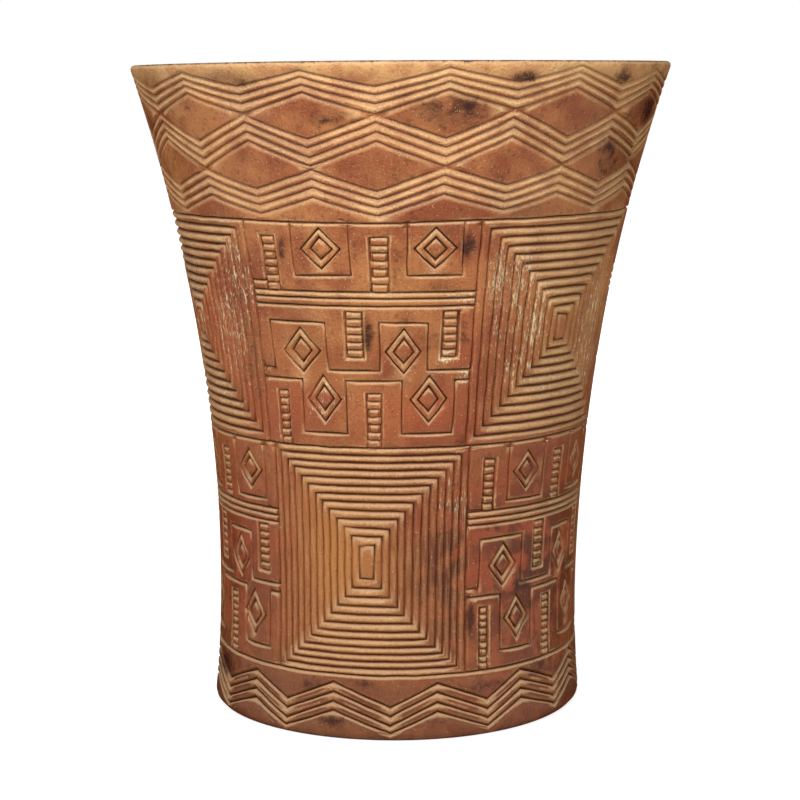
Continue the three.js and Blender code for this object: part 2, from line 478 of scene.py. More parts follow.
def unit(vectors):
    return vectors / np.linalg.norm(vectors, axis=-1, keepdims=True)


def across(vectors):
    """The vectors turned left by a right angle."""
    return np.stack([-vectors[..., 1], vectors[..., 0]], axis=-1)


def scale_of(lengths):
    """Millimetres for a radian and for a millimetre of length, at these lengths along the wall."""
    return np.column_stack([wall.radius(lengths), np.ones(len(lengths))])


class Course(NamedTuple):
    """The directions of a groove's stretches, and at each station those before and after it."""

    stretches: np.ndarray
    before: np.ndarray
    after: np.ndarray


def course(groove):
    line = groove.line
    steps = np.diff(line, axis=0) * scale_of((line[1:, 1] + line[:-1, 1]) / 2)
    along = unit(steps)
    first, last = (along[-1:], along[:1]) if groove.closed else (along[:1], along[-1:])
    return Course(steps, np.vstack([first, along]), np.vstack([along, last]))


REACH = 1.6  # how far from a groove its distance matters
CELL = 3.0
ROW_LIMIT = 1000  # more cells than there are up the wall


class Sunk(NamedTuple):
    """What the grooves do at places of the wall; distances are in half widths of a groove."""

    depth: np.ndarray
    dirt_and_shade: np.ndarray
    wear: np.ndarray  # how far the nearest groove's sides are rubbed
    nearest: np.ndarray  # distance to the nearest groove
    second: np.ndarray  # distance to the nearest other groove


class Carving:
    """All the grooves as straight stretches, sorted into cells so that near ones are found fast."""

    def __init__(self, cuts):
        parts = []
        for owner, groove in enumerate(cuts):
            way = course(groove)
            bisectors = unit(way.before + way.after)
            count = len(way.stretches)
            row = np.arange(count)
            first = (row == 0) & (not groove.closed)
            last = (row == count - 1) & (not groove.closed)
            parts.append((groove.line[:-1], way.stretches, bisectors[:-1], bisectors[1:],
                          np.full(count, owner), first, last))
        joined = [np.concatenate(values) for values in zip(*parts)]
        self.starts, self.steps, self.begins, self.ends = joined[:4]
        self.owners, self.open_start, self.open_end = joined[4:]
        self.radii = wall.radius(self.starts[:, 1] + self.steps[:, 1] / 2)
        blades = np.array([cuts[k].blade[:2] for k in self.owners])
        self.blades = blades * self.with_grain()
        # Dirt and painted shade in each groove, as a share: more in deep cuts, less in one that runs up the
        # grain
        self.dirt_and_shade = blades[:, 1] / CORD.depth * (1 - self.upright() * (1 - GRAIN_DIRT_AND_SHADE))
        self.wear = 1 - self.upright() * (1 - GRAIN_WEAR)
        self.columns = int(2 * math.pi * WAIST_RADIUS / CELL)
        self.cells = self.sorted_cells()

    def upright(self):
        return (np.abs(self.steps[:, 1]) / np.linalg.norm(self.steps, axis=1)) ** 2

    def with_grain(self):
        """Shares of a blade's width and depth, less where it runs up the grain than across it."""
        return 1 - self.upright()[:, None] * [1 - GRAIN_WIDTH, 1 - GRAIN_DEPTH]

    def cell_of(self, angle, length):
        column = np.floor(angle / (2 * math.pi) * self.columns).astype(int)
        return column, np.floor(length / CELL).astype(int)

    def sorted_cells(self):
        ends = self.starts + self.steps / np.column_stack([self.radii, np.ones(len(self.radii))])
        margin = np.column_stack([REACH / self.radii, np.full(len(self.radii), REACH)])
        low = self.cell_of(*(np.minimum(self.starts, ends) - margin).T)
        high = self.cell_of(*(np.maximum(self.starts, ends) + margin).T)
        cells = {}
        for k in range(len(self.starts)):
            for column in range(low[0][k], high[0][k] + 1):
                for row in range(low[1][k], high[1][k] + 1):
                    cells.setdefault((column % self.columns, row), []).append(k)
        return {cell: np.array(found) for cell, found in cells.items()}

    def near(self, places):
        """For each cell with places and grooves: its places' rows, its stretches and their distances."""
        column, row = self.cell_of(*places.T)
        key = (column % self.columns) * ROW_LIMIT + row
        order = np.argsort(key, kind="stable")
        bounds = np.flatnonzero(np.diff(key[order])) + 1
        for rows in np.split(order, bounds):
            found = self.cells.get((column[rows[0]] % self.columns, row[rows[0]]))
            if found is not None:
                yield rows, found, self.distances(places[rows], found)

    def distances(self, places, found):
        """Distance of each place from each stretch, which ends at the line that halves its corner."""
        offset = places[:, None, :] - self.starts[found]
        offset[..., 0] = (offset[..., 0] + math.pi) % (2 * math.pi) - math.pi
        offset[..., 0] *= self.radii[found]
        size = np.linalg.norm(self.steps[found], axis=1)
        along = self.steps[found] / size[:, None]
        forward = (offset * along).sum(-1)
        side = (offset * across(along)).sum(-1)
        opens, closes = self.open_start[found], self.open_end[found]
        short = np.where(opens, np.maximum(0, -forward), 0)
        over = short + np.where(closes, np.maximum(0, forward - size), 0)
        before = (offset * self.begins[found]).sum(-1) < -TINY
        after = ((offset - self.steps[found]) * self.ends[found]).sum(-1) > TINY
        outside = (before & ~opens) | (after & ~closes)
        return np.where(outside, np.inf, np.hypot(side, over))

    def nearest_other(self, places, own):
        """Distance to the nearest groove other than a place's own, and which it is."""
        distance = np.full(len(places), np.inf)
        other = np.full(len(places), -1)
        for rows, found, apart in self.near(places):
            apart = np.where(self.owners[found] == own[rows][:, None], np.inf, apart)
            best = apart.argmin(1)
            distance[rows] = apart[np.arange(len(rows)), best]
            other[rows] = self.owners[found][best]
        return distance, other

    def sunk(self, places):
        """What the grooves do at each place."""
        depth, dirt_and_shade, wear = np.zeros((3, len(places)))
        nearest, second = np.full((2, len(places)), np.inf)
        for rows, found, apart in self.near(places):
            half_width, deep = self.blades[found].T
            part = apart / half_width
            share = np.clip(1 - part, 0, 1) ** PROFILE
            depth[rows] = (deep * share).max(1)
            dirt_and_shade[rows] = (self.dirt_and_shade[found] * share).max(1)
            nearest[rows] = part.min(1)
            wear[rows] = self.wear[found][part.argmin(1)]
            own = self.owners[found][part.argmin(1)]
            second[rows] = np.where(self.owners[found] == own[:, None], np.inf, part).min(1)
        return Sunk(depth, dirt_and_shade, wear, nearest, second)


carving = Carving(grooves)
FLANKS = (0.3, 0.62, 1.0)  # mesh lines along a groove, in half widths
SHOULDER = 0.4  # one more, this far past its edge
RIDGE_GAP = 0.3  # no two grooves' lines lie closer
MEETING = 1.0  # grooves this close run into each other
MEETING_GRID = 0.45
MEETING_REACH = 3  # grid points each way round a meeting

# How far mesh lines, meetings' grids and the land's grid stay from the ends of the wall
LINE_MARGIN = 0.2
MEETING_MARGIN = 0.5
LAND_MARGIN = 1


def groove_lines():
    """Mesh lines along every groove: places, their own grooves, offsets, and edges between neighbours."""
    places, owners, offsets, edges = [], [], [], []
    count = 0
    for owner, groove in enumerate(grooves):
        way = course(groove)
        normals = across(way.before) + across(way.after)
        mitres = normals / (1 + (way.before * way.after).sum(1, keepdims=True))
        line, mitres = (groove.line[:-1], mitres[:-1]) if groove.closed else (groove.line, mitres)
        reach = [share * groove.blade.half_width for share in FLANKS]
        reach.append(groove.blade.half_width + SHOULDER)
        for offset in [0] + reach + [-r for r in reach]:
            rows = np.arange(count, count + len(line))
            places.append(line + offset * mitres / scale_of(line[:, 1]))
            owners.append(np.full(len(line), owner))
            offsets.append(np.full(len(line), abs(offset)))
            edges.append(np.column_stack([rows, np.roll(rows, -1)])[:None if groove.closed else -1])
            count += len(line)
    return np.vstack(places), np.concatenate(owners), np.concatenate(offsets), np.vstack(edges)


def on_wall(places, margin):
    return (places[:, 1] > margin) & (places[:, 1] < wall.lengths[-1] - margin)


def kept_lines():
    """The mesh lines without what lies past a ridge, on the side of another groove."""
    places, owners, offsets, edges = groove_lines()
    distance, other = carving.nearest_other(places, owners)
    clear = distance > offsets + RIDGE_GAP
    shared = (distance > offsets - RIDGE_GAP) & (owners < other)
    inside = on_wall(places, LINE_MARGIN)
    keep = (clear | shared | (offsets == 0)) & inside
    new_row = np.cumsum(keep) - 1
    edges = edges[keep[edges].all(1)]
    return places[keep], new_row[edges]


def meeting_points():
    """A fine grid wherever one groove runs into another."""
    long_ones = [(k, groove.line) for k, groove in enumerate(grooves) if groove.blade is not RUNG]
    ends = np.vstack([line for _, line in long_ones])
    owners = np.concatenate([np.full(len(line), k) for k, line in long_ones])
    distance, _ = carving.nearest_other(ends, owners)
    ends = ends[distance < MEETING]
    ticks = np.arange(-MEETING_REACH, MEETING_REACH + 1) * MEETING_GRID
    grid = np.stack(np.meshgrid(ticks, ticks), -1).reshape(-1, 2)
    points = (ends[:, None] + grid / scale_of(ends[:, 1])[:, None]).reshape(-1, 2)
    cell = np.round(points * [WAIST_RADIUS / MEETING_GRID, 1 / MEETING_GRID])
    points = points[np.unique(cell, axis=0, return_index=True)[1]]
    distance, _ = carving.nearest_other(points, np.full(len(points), -1))
    return points[on_wall(points, MEETING_MARGIN) & (distance < REACH)]


def land_points():
    """A loose grid over the surface that the grooves leave."""
    rows = []
    for length in np.arange(LAND_GRID, wall.lengths[-1] - LAND_MARGIN, LAND_GRID):
        count = round(2 * math.pi * wall.radius(length) / LAND_GRID)
        angles = np.arange(count) * 2 * math.pi / count - math.pi
        rows.append(np.column_stack([angles, np.full(count, length)]))
    grid = np.vstack(rows)
    grid += chance.uniform(-LAND_JITTER, LAND_JITTER, grid.shape) * [LAND_GRID / WAIST_RADIUS, LAND_GRID]
    distance, _ = carving.nearest_other(grid, np.full(len(grid), -1))
    return grid[distance > REACH]


def turn_angles():
    return np.arange(TURN_STEPS) * 2 * math.pi / TURN_STEPS - math.pi


def edge_ring(length):
    return np.column_stack([turn_angles(), np.full(TURN_STEPS, length)])


def edge_points():
    """Rings round the rounded edges of the foot and the lip."""
    lengths = np.concatenate([wall.lengths[2:EDGE_STEPS:2], wall.lengths[-EDGE_STEPS:-1:2]])
    return np.vstack([edge_ring(length) for length in lengths])


def wall_mesh():
    """Places and triangles of the carved wall, and the rows of its foot's and its lip's ring."""
    lines, line_edges = kept_lines()
    rings = np.vstack([edge_ring(0), edge_ring(wall.lengths[-1])])
    rows = np.arange(TURN_STEPS)
    ring = np.column_stack([rows, np.roll(rows, -1)])
    flat = wall.flattened(np.vstack([rings, lines, meeting_points(), land_points(), edge_points()]))
    edges = np.vstack([ring, ring + TURN_STEPS, line_edges + 2 * TURN_STEPS])
    points, _, faces, origins, _, _ = delaunay_2d_cdt(
        [Vector(p) for p in flat], [tuple(map(int, e)) for e in edges], [], 0, TINY)
    place_of = {}
    for row, found in enumerate(origins):
        for origin in found:
            place_of[origin] = row
    foot = np.array([place_of[k] for k in range(TURN_STEPS)])
    lip = np.array([place_of[k + TURN_STEPS] for k in range(TURN_STEPS)])
    faces = np.array(faces)
    on_foot = np.isin(faces, foot).all(1)
    places = wall.unflattened(np.array([tuple(p) for p in points]))
    places[foot, 1] = 0
    places[lip, 1] = wall.lengths[-1]
    return places, faces[~on_foot], foot, lip


def turned_rings(path):
    """Points of a path turned about the axis, one ring for each of its points."""
    angles = turn_angles()
    ring = np.column_stack([np.sin(angles), -np.cos(angles)])
    rings = [np.column_stack([ring * radius, np.full(TURN_STEPS, height)]) for radius, height in path]
    return np.vstack(rings)


def ripple(angle, height, waves, finest, seed):
    """A smooth random surface, mostly between -1 and 1, whose finest wave repeats this often in a turn."""
    draw = np.random.default_rng(seed)
    total = np.zeros(len(angle))
    for _ in range(waves):
        turns = draw.integers(-finest, finest + 1)
        climb = draw.uniform(-1, 1) * finest / WAIST_RADIUS
        total += np.cos(turns * angle + climb * height + draw.uniform(0, 2 * math.pi))
    return total / math.sqrt(waves)


def hand_made(points):
    """The turned form with its lean and small errors."""
    x, y, height = points.T
    angle = np.arctan2(x, -y)
    swell = 1 + OUT_OF_ROUND / WAIST_RADIUS * ripple(angle, height, waves=6, finest=3, seed=11)
    uneven = ripple(angle, 0 * height, waves=5, finest=4, seed=12)
    lifted = height + UNEVEN_LIP * (height / HEIGHT) ** 4 * uneven
    aside = height * math.tan(LEAN) + BOW * np.sin(math.pi / 2 * height / BOW_HEIGHT)
    return np.column_stack([x * swell + aside, y * swell, lifted])


def bridge(lower, upper):
    """Triangles between two rings of rows, facing out where the second lies above the first."""
    after_low, after_high = np.roll(lower, -1), np.roll(upper, -1)
    first = np.column_stack([lower, after_low, after_high])
    return np.vstack([first, np.column_stack([lower, after_high, upper])])


class Mark(NamedTuple):
    """A soft-edged spot on the wall: its place, its reach each way in millimetres, and its strength."""

    angle: float
    height: float
    wide: float
    tall: float
    strength: float


def spots(*rows):
    return [Mark(*row) for row in rows]


# Marks of age and painted light: dark stains, chalk, rubbed wood, golden ridges partly painted as a warm
# glow, golden wood, red wood, and darker wood with painted shade
STAINS = spots(
    (25.2, 166, 3, 1.6, 1.0), (51.5, 166, 4, 1.8, 1.0), (-32.5, 165.5, 5, 2, 0.5),
    (13.8, 159, 4.5, 2.2, 0.95), (5.5, 159, 3.5, 2.5, 0.6), (69, 158, 6, 3.5, 1.0),
    (35.5, 160, 3.5, 2, 0.6), (53, 149, 5, 2, 0.8), (54, 144.5, 6, 3, 0.7),
    (22, 142.8, 3, 1.5, 0.5), (-6.5, 145, 5, 1.2, 1.0), (-15, 156.5, 6, 1.8, 0.75),
    (-51, 159.8, 5, 2, 0.4), (-29.5, 125.2, 1.2, 4, 0.9), (-8.2, 104, 1.3, 5, 1.0),
    (-3.5, 96, 1.2, 2.5, 0.7), (-10, 125, 1.5, 4, 0.5), (-1, 121, 1.5, 5, 0.4),
    (16.2, 125.8, 1.8, 4, 1.0), (8.5, 116.5, 5, 1.2, 0.7), (16.5, 104.8, 1.5, 5, 0.6),
    (22.2, 30.5, 1.3, 5, 1.0), (27, 54, 4, 1.5, 0.6), (39.8, 37.2, 5, 1.2, 0.9),
    (28, 12.8, 8, 2, 0.6), (48, 14.5, 8, 2.5, 0.6), (-28, 14.2, 4, 1.6, 1.0),
    (-9.5, 15, 2, 1.4, 0.8), (-19.8, 5, 4, 1.8, 0.8), (10.2, 4, 5, 2, 0.6),
    (-71, 12.5, 8, 4, 0.8),
)
CHALK_MARKS = spots(
    (24.5, 118, 4, 8, 0.9), (31, 117, 5, 9, 0.8), (37, 107, 6, 11, 0.75),
    (28, 104, 8, 12, 0.45), (34, 97, 7, 9, 0.55), (12.2, 98, 3, 3, 0.7),
    (15.2, 113, 5, 3, 0.65), (17.2, 94.2, 2.5, 3, 0.7), (-45, 118, 8, 14, 0.65),
    (-52, 105, 10, 16, 0.65), (-70, 110, 14, 24, 0.5), (-60, 86, 14, 8, 0.45),
    (-20, 88, 8, 6, 0.45), (16, 62, 6, 8, 0.4), (62, 104, 9, 22, 0.6),
    (44, 90, 10, 8, 0.4),
)
RUBBED = spots(
    (-55.5, 167, 2.4, 4, 1.0), (-53, 162, 1.6, 2.5, 0.6), (33, 168, 6, 1, 0.5),
    (64, 104, 9, 26, 0.45), (-33.5, 158.2, 6, 2, 0.35), (-57, 160.5, 5, 2.5, 0.35),
    (-9.5, 159.3, 6, 2, 0.2), (-24, 110, 5, 2, 0.3),
)
# Golden ridges, partly a painted warm glow of reflected light
GILDED_AND_WARM_GLOW = spots(
    (-11, 104, 28, 26, 0.7), (60, 152, 36, 24, 0.9), (48, 104, 22, 26, 0.9),
    (46, 40, 28, 32, 1.0),
)
GLOWS = spots(
    (-24, 3, 18, 4, 0.7), (22, 3, 12, 3, 0.4), (-20, 46, 12, 22, 1.0),
    (-12, 25, 14, 8, 0.6), (-14, 94, 7, 4, 0.4), (-25, 98, 8, 9, 0.4),
    (5, 118, 10, 6, 0.4), (45, 104, 12, 20, 0.5),
)
EMBERS = spots(
    (-30, 87, 13, 8, 0.6), (4, 85, 20, 7, 0.6), (46, 46, 28, 38, 0.95),
    (16.8, 102, 4, 20, 0.6), (-62, 46, 24, 30, 0.95), (-44, 84, 12, 12, 0.7),
    (-60, 104, 20, 24, 0.65),
)
# Darker wood, and painted shade where the light falls off towards the left and right outline
SHADES = spots(
    (-82, 32, 10, 34, 0.9), (-80, 10, 16, 14, 1.0), (82, 36, 9, 40, 0.8),
    (46, 40, 28, 34, 1.0), (14, 44, 9, 26, 0.95), (-62, 40, 24, 30, 0.65),
    (-70, 12, 26, 14, 0.9), (65, 10, 20, 14, 0.7), (-45, 100, 5, 26, 0.5),
    (26, 135, 14, 3, 0.6), (-26, 102, 6, 3, 0.35), (7, 103, 5, 3, 0.35),
    (11, 159, 9, 4, 1.0), (40, 150, 8, 4, 0.3), (-37, 165.8, 8, 2.5, 0.7),
    (-58, 167, 16, 4, 0.3), (-4, 145, 9, 4, 0.3), (60, 146, 14, 9, 0.5),
    (66, 158, 11, 8, 0.6), (44, 157, 8, 4, 0.35),
)
TINTS = {"chalk": CHALK_MARKS, "gilt": GILDED_AND_WARM_GLOW, "glow": GLOWS, "ember": EMBERS, "shade": SHADES}

# Where a groove's sides are rubbed; distances from it are in its half widths
CREST_START, CREST_FADE = 0.4, 0.4  # the rubbing begins this far up its side
RIDGE_SPAN, RIDGE_FADE = 3.0, 0.4  # two grooves nearer to each other than this leave a rubbed ridge
EDGE_REACH, EDGE_FADE = 1.12, 0.25
EDGE_WEAR = 0.7  # a groove's edge beside flush wood is rubbed less than a ridge
GROOVE_BOTTOM = 0.02
UNEVEN_DEPTH = 0.16  # share by which the depth varies

# The dark line along the top of the lip, in millimetres
LIP_LINE, LIP_FADE = 1.0, 0.4
LIP_DARK = 0.65


def marks(places, group):
    """How strongly the spots show at each place."""
    height = np.interp(places[:, 1], wall.lengths, wall.heights)
    total = np.zeros(len(places))
    for spot in group:
        turn = (places[:, 0] - math.radians(spot.angle) + math.pi) % (2 * math.pi) - math.pi
        aside = turn * wall.radius(places[:, 1]) / spot.wide
        above = (height - spot.height) / spot.tall
        total = np.maximum(total, spot.strength * np.exp(-(aside ** 2 + above ** 2)))
    return total


def store(mesh, name, values):
    """Keeps a number for each point of the wall; the hollow's and the foot's, which come last, have 0."""
    attribute = mesh.attributes.new(name, "FLOAT", "POINT")
    filled = np.zeros(len(mesh.vertices), np.float32)
    filled[:len(values)] = values
    attribute.data.foreach_set("value", filled)


def store_wear(mesh, places, sunk):
    """Keeps on the mesh where it is dirty with painted shade in the cuts, rubbed, stained and tinted; some
    tints are painted shade and a painted warm glow.
    """
    ridge = np.clip((RIDGE_SPAN - sunk.nearest - sunk.second) / RIDGE_FADE, 0, 1)
    edge = EDGE_WEAR * np.clip((EDGE_REACH - sunk.nearest) / EDGE_FADE, 0, 1)
    crest = np.clip((sunk.nearest - CREST_START) / CREST_FADE, 0, 1) * np.maximum(ridge, edge)
    # A dark line painted along the top of the lip, kept with the stains
    lip_line = LIP_DARK * np.clip((places[:, 1] - wall.lengths[-1] + LIP_LINE) / LIP_FADE, 0, 1)
    # cut holds the dirt and painted shade in the grooves
    store(mesh, "cut", np.clip(sunk.dirt_and_shade, 0, 1))
    store(mesh, "worn", np.maximum(sunk.wear * crest, marks(places, RUBBED)))
    store(mesh, "crest", crest)
    store(mesh, "stain", np.maximum(marks(places, STAINS), lip_line))
    for name, group in TINTS.items():
        store(mesh, name, marks(places, group))


def sharpen(mesh, sunk):
    """Makes the mesh's edges along the bottoms of the grooves sharp."""
    bottoms = np.zeros(len(mesh.vertices), bool)
    bottoms[:len(sunk.nearest)] = sunk.nearest < GROOVE_BOTTOM
    ends = np.zeros(2 * len(mesh.edges), np.int32)
    mesh.edges.foreach_get("vertices", ends)
    mesh.edges.foreach_set("use_edge_sharp", bottoms[ends.reshape(-1, 2)].all(1))


def lid(edge, path, tip, count, upward):
    """Points and triangles of a turned path that closes a ring of the wall, with its tip on the axis."""
    rings = count + np.arange(len(path) * TURN_STEPS).reshape(len(path), TURN_STEPS)
    points = np.vstack([turned_rings(path), [(0, 0, tip)]])
    pairs = zip([edge, *rings[:-1]], rings)
    faces = [bridge(a, b) if upward else bridge(b, a) for a, b in pairs]
    fan = np.column_stack([rings[-1], np.roll(rings[-1], -1), np.full(TURN_STEPS, count + rings.size)])
    faces.append(fan if upward else fan[:, [1, 0, 2]])
    return points, np.vstack(faces)


def add_object(name, data):
    thing = bpy.data.objects.new(name, data)
    bpy.context.scene.collection.objects.link(thing)
    return thing


def carved_body():
    places, faces, foot, lip = wall_mesh()
    sunk = carving.sunk(places)
    uneven = 1 + UNEVEN_DEPTH * ripple(places[:, 0], places[:, 1], waves=14, finest=30, seed=13)
    points = wall.solid(places, -sunk.depth * uneven)
    under = [(wall.radii[0] * k / (UNDER_RINGS + 1), 0) for k in range(UNDER_RINGS, 0, -1)]
    hollow = inside_path()
    for edge, path, tip, upward in ((lip, hollow, FLOOR_THICKNESS, True), (foot, under, 0, False)):
        more_points, more_faces = lid(edge, path, tip, len(points), upward)
        points = np.vstack([points, more_points])
        faces = np.vstack([faces, more_faces])
    points = hand_made(points) * MM
    mesh = bpy.data.meshes.new("beaker")
    mesh.from_pydata(points.tolist(), [], faces.tolist())
    mesh.shade_smooth()
    sharpen(mesh, sunk)
    store_wear(mesh, places, sunk)
    return add_object("carved_beaker", mesh)


class Nodes:
    """Short calls that add shader nodes to a tree."""

    def __init__(self, tree):
        self.tree = tree

    def add(self, kind, inputs, **settings):
        """Adds a node and gives back its outputs."""
        node = self.tree.nodes.new("ShaderNode" + kind)
        for name, value in settings.items():
            setattr(node, name, value)
        for key, value in inputs.items():
            self.feed(node.inputs[key], value)
        return node.outputs

    def feed(self, socket, value):
        """Gives an input its value: a number, a colour or another node's output."""
        if isinstance(value, bpy.types.NodeSocket):
            self.tree.links.new(value, socket)
        else:
            socket.default_value = value

    def noise(self, where, scale, detail=3):
        inputs = {"Vector": where, "Scale": scale, "Detail": detail, "Roughness": NOISE_ROUGHNESS}
        return self.add("TexNoise", inputs)["Fac"]

    def fade(self, value, low, high, start=0.0, end=1.0):
        """Goes smoothly from start to end as the value goes from low to high."""
        inputs = {"Value": value, "From Min": low, "From Max": high, "To Min": start, "To Max": end}
        return self.add("MapRange", inputs, interpolation_type="SMOOTHSTEP")["Result"]

    def maths(self, operation, *values):
        return self.add("Math", dict(enumerate(values)), operation=operation)[0]

    def times(self, first, second):
        return self.maths("MULTIPLY", first, second)

    def total(self, value, *others):
        """A value plus others, each times its weight."""
        for other, weight in others:
            value = self.maths("ADD", value, self.times(other, weight))
        return value

    def mixed(self, share, first, second):
        """A mix of two colours, which are inputs 6 and 7 of its node."""
        return self.add("Mix", {0: share, 6: first, 7: second}, data_type="RGBA")[2]

    def coated(self, surface, *coats):
        """A surface under coats, each with the share that it covers and its colour."""
        for share, colour in coats:
            surface = self.mixed(share, surface, colour)
        return surface

    def stored(self, name):
        return self.add("Attribute", {}, attribute_name=name)["Fac"]


def new_material(name):
    """A material, its nodes and the inputs of its shader."""
    material = bpy.data.materials.new(name)
    material.use_nodes = True
    tree = material.node_tree
    return material, Nodes(tree), tree.nodes["Principled BSDF"].inputs


# Colours of the wood
RED_BROWN = (0.255, 0.068, 0.027, 1)
ORANGE_BROWN = (0.45, 0.174, 0.062, 1)
DARK_GRAIN = (0.115, 0.032, 0.014, 1)
TAN = (0.52, 0.248, 0.102, 1)
PALE = (0.77, 0.46, 0.215, 1)
# Pale of a painted highlight with dust, on wood that faces up
HIGHLIGHT_AND_DUST = (0.53, 0.34, 0.185, 1)
# Golden ridge colour, partly a painted warm glow
GILT_AND_WARM_GLOW = (0.68, 0.43, 0.175, 1)
GOLDEN = (0.48, 0.205, 0.060, 1)
EMBER = (0.335, 0.076, 0.030, 1)
FOOT_SHADE = (0.13, 0.041, 0.020, 1)
RED_SHADE = (0.095, 0.027, 0.014, 1)
# Dirt, also painted as shade in the cuts
DIRT_AND_SHADE = (0.12, 0.042, 0.018, 1)
RIM = (0.62, 0.34, 0.138, 1)
STAIN = (0.040, 0.011, 0.006, 1)
CHALK = (0.68, 0.57, 0.35, 1)

# Heights between which the wood changes, in metres
FOOT_GLOOM = (0.0, 0.02)
FOOT_BAND = (0.012, 0.019)
LOWER_GLOOM = (0.01, 0.13)
HANDLED = (0.02, 0.14)
DUSTY = (0.06, 0.1)
PALE_RIDGES = (0.115, 0.14)
POWDER_AND_GLINT_TOP = (0.125, 0.133)
GOLDEN_LIP = (0.162, 0.169)

# Noise: how it is drawn out along the upright grain, and how rough its finer detail is
LONG_GRAIN = (1, 1, 0.07)
SHORT_GRAIN = (1, 1, 0.22)
NOISE_ROUGHNESS = 0.55

# Fine relief under the polish
BUMP_STRENGTH = 0.7
BUMP_HEIGHT = 0.00042

# What the points of the mesh hold
STORED = ("cut", "worn", "crest", "stain", *TINTS)


def wood_inputs(nodes):
    """What the wood's layers share: height, facing, noises by their waves to a metre, and stored values."""
    where = nodes.add("TexCoord", {})["Object"]
    long_grain = nodes.add("Mapping", {"Vector": where, "Scale": LONG_GRAIN})["Vector"]
    short_grain = nodes.add("Mapping", {"Vector": where, "Scale": SHORT_GRAIN})["Vector"]
    facing = nodes.add("NewGeometry", {})["Normal"]
    return SimpleNamespace(
        height=nodes.add("SeparateXYZ", {0: where})["Z"],
        upward=nodes.add("SeparateXYZ", {0: facing})["Z"],
        cloud=nodes.noise(where, 38),
        patch=nodes.noise(where, 130, 4),
        speck=nodes.noise(where, 520, 4),
        grit=nodes.noise(where, 1600),
        dust=nodes.noise(where, 2600, 2),
        streak=nodes.noise(long_grain, 240),
        fibre=nodes.noise(long_grain, 1300, 4),
        flake=nodes.noise(short_grain, 2900),
        **{name: nodes.stored(name) for name in STORED},
    )


def mottled_shade(nodes, at):
    """How dark the shaded places are, in patches: darker wood and painted shade from the shade marks, and
    darker towards the foot.
    """
    shade = nodes.maths("MAXIMUM", at.shade, nodes.fade(at.height, *FOOT_GLOOM, 0.5, 0.0))
    return nodes.times(shade, nodes.fade(at.patch, 0.4, 0.56, 0.1, 0.95))


def flush_wood(nodes, at):
    """Clouds of red and orange, mottled and specked, dark towards the foot and golden at the lip."""
    tone = nodes.total(at.cloud, (at.patch, 0.8), (at.streak, 0.2), (at.grit, 0.35))
    return nodes.coated(
        nodes.mixed(nodes.fade(tone, 0.95, 1.35), RED_BROWN, ORANGE_BROWN),
        (nodes.fade(at.fibre, 0.5, 0.72, 0, 0.18), DARK_GRAIN),
        (nodes.fade(at.speck, 0.53, 0.70, 0, 0.55), DARK_GRAIN),
        (nodes.fade(at.height, *LOWER_GLOOM, 0.5, 0.0), DARK_GRAIN),
        (nodes.times(at.glow, 0.85), GOLDEN),
        (nodes.fade(at.height, *FOOT_BAND, 0.5, 0.0), FOOT_SHADE),
        (at.ember, EMBER),
        (nodes.times(nodes.fade(at.height, *GOLDEN_LIP), nodes.fade(at.patch, 0.38, 0.58, 0.4, 0.95)), RIM),
    )


def rubbed_and_highlit_wood(nodes, at, surface):
    """Ridges and edges rubbed pale, and a painted highlight with pale dust where the wood faces up."""
    handled = nodes.fade(at.height, *HANDLED, 0.9, 1.0)
    rubbed = nodes.times(at.worn, nodes.fade(at.patch, 0.3, 0.65, 0.5, 0.95))
    rubbed = nodes.times(rubbed, nodes.times(handled, nodes.fade(at.grit, 0.36, 0.56, 0.75, 1.05)))
    ridge = nodes.mixed(nodes.fade(at.height, *PALE_RIDGES), TAN, PALE)
    # Golden ridges, partly a painted warm glow of reflected light
    ridge = nodes.mixed(at.gilt, ridge, GILT_AND_WARM_GLOW)
    # Painted highlight with pale dust, where the wood faces up outside the cuts
    highlight_and_dust = nodes.times(nodes.fade(at.upward, 0.0, 0.5, 0.0, 0.75), nodes.fade(at.cut, 0.5, 0.9, 1.0, 0.0))
    highlight_and_dust = nodes.times(highlight_and_dust, nodes.fade(at.grit, 0.3, 0.62, 0.65, 1.0))
    return nodes.coated(surface, (rubbed, ridge), (highlight_and_dust, HIGHLIGHT_AND_DUST))


def soiled_and_shaded_wood(nodes, at, surface):
    """Dirt and painted shade in the cuts, dark stains, and dark pores."""
    # Dirt and painted shade in the cuts, a little more where chalk lies
    deep = nodes.times(at.cut, nodes.fade(at.chalk, 0.0, 0.7, 1.0, 1.15))
    blot = nodes.total(at.stain, (at.speck, 0.8), (at.grit, 0.7))
    return nodes.coated(
        surface,
        (nodes.fade(nodes.total(deep, (at.grit, 0.3)), 0.5, 1.05, 0, 0.85), DIRT_AND_SHADE),
        (nodes.fade(blot, 0.9, 1.6, 0, 0.95), STAIN),
        (nodes.fade(at.grit, 0.58, 0.72, 0, 0.5), DIRT_AND_SHADE),
    )


